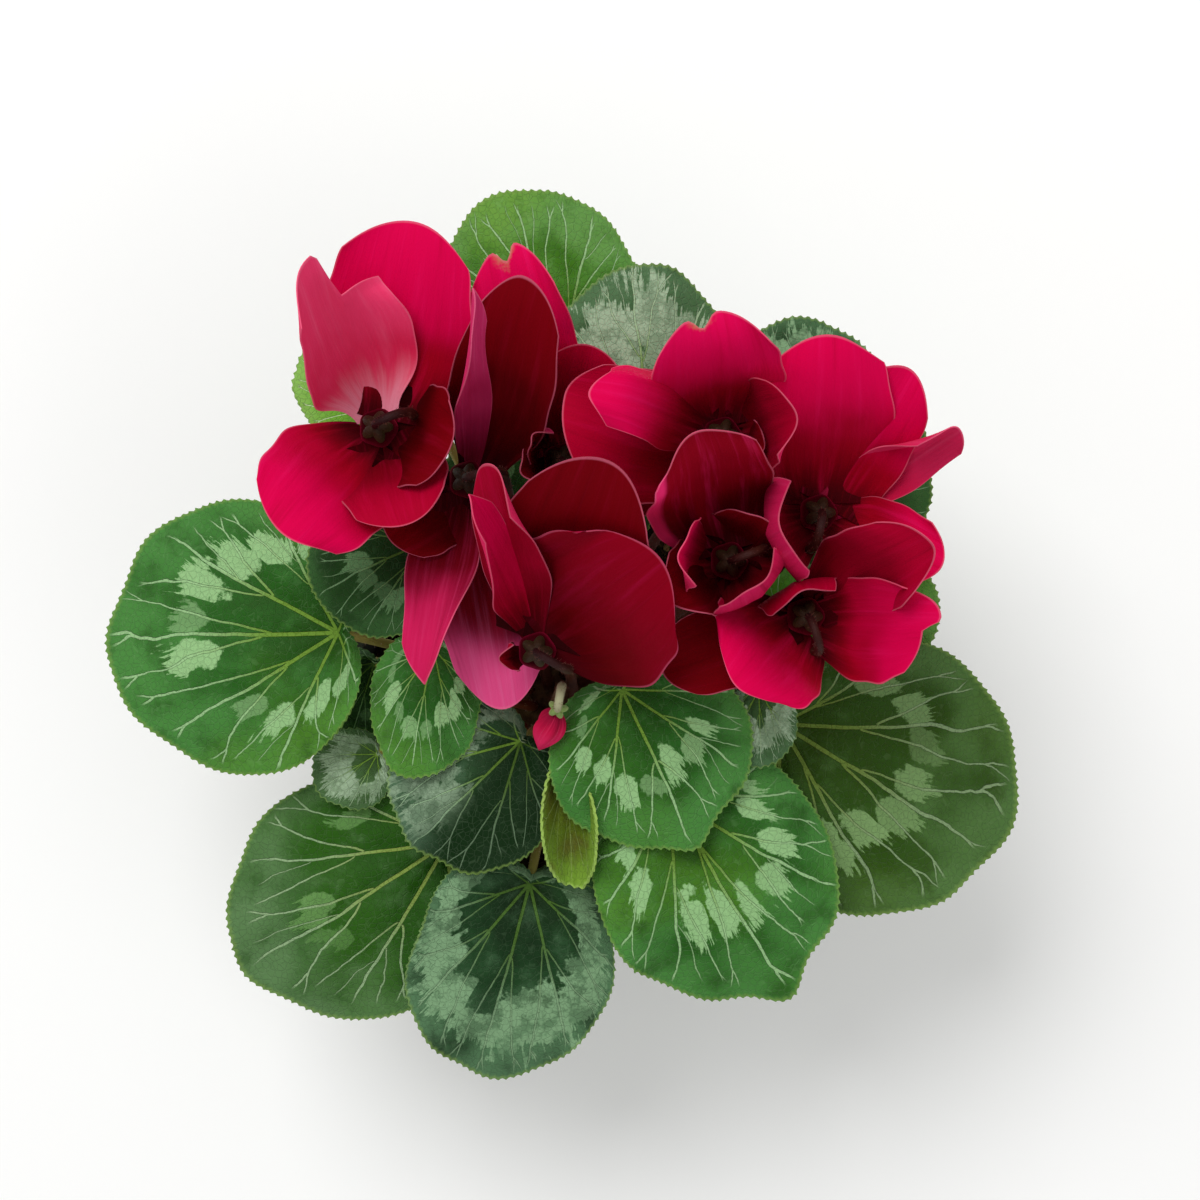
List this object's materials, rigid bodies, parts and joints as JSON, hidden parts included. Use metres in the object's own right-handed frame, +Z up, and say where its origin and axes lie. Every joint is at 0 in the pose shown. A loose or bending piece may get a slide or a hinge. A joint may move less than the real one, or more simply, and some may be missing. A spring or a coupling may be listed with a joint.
{
  "type": "potted plant",
  "caption": "Potted cyclamen with marbled heart-shaped leaves in a low rosette and ruffled crimson blooms, in a round plastic nursery pot.",
  "frame": {"origin": "middle of the pot's flat base", "axes": "+Z up the pot's axis, +Y to the top of the picture and +X to its right"},
  "size_m": [0.2404, 0.2363, 0.2272],
  "materials": {
    "pot": "matte dark grey",
    "soil": "rough dark brown",
    "tuber": "rough corky brown",
    "leaf": "satin green with pale marbling",
    "petal": "velvety crimson",
    "stalk": "satin reddish brown"
  },
  "bodies": {
    "root": {"pot": "pot", "soil": "soil", "tuber": "tuber", "leaf_01": "leaf", "leaf_02": "leaf", "leaf_03": "leaf", "leaf_04": "leaf", "leaf_05": "leaf", "leaf_06": "leaf", "leaf_07": "leaf", "leaf_08": "leaf", "leaf_09": "leaf", "leaf_10": "leaf", "leaf_11": "leaf", "leaf_12": "leaf", "leaf_13": "leaf", "leaf_14": "leaf", "leaf_15": "leaf", "leaf_16": "leaf", "leaf_17": "leaf", "leaf_18": "leaf", "leaf_19": "leaf", "leaf_20": "leaf", "leaf_21": "leaf", "leaf_22": "leaf", "bloom_a_stem": "stalk", "bloom_a_petals": "petal", "bloom_b_stem": "stalk", "bloom_b_petals": "petal", "bloom_c_stem": "stalk", "bloom_c_petals": "petal", "bloom_d_stem": "stalk", "bloom_d_petals": "petal", "bloom_e_stem": "stalk", "bloom_e_petals": "petal", "bloom_f_stem": "stalk", "bloom_f_petals": "petal", "bloom_g_stem": "stalk", "bloom_g_petals": "petal", "bloom_h_stem": "stalk", "bloom_h_petals": "petal", "bud_stem": "stalk", "bud_petals": "petal"}
  },
  "joints": []
}
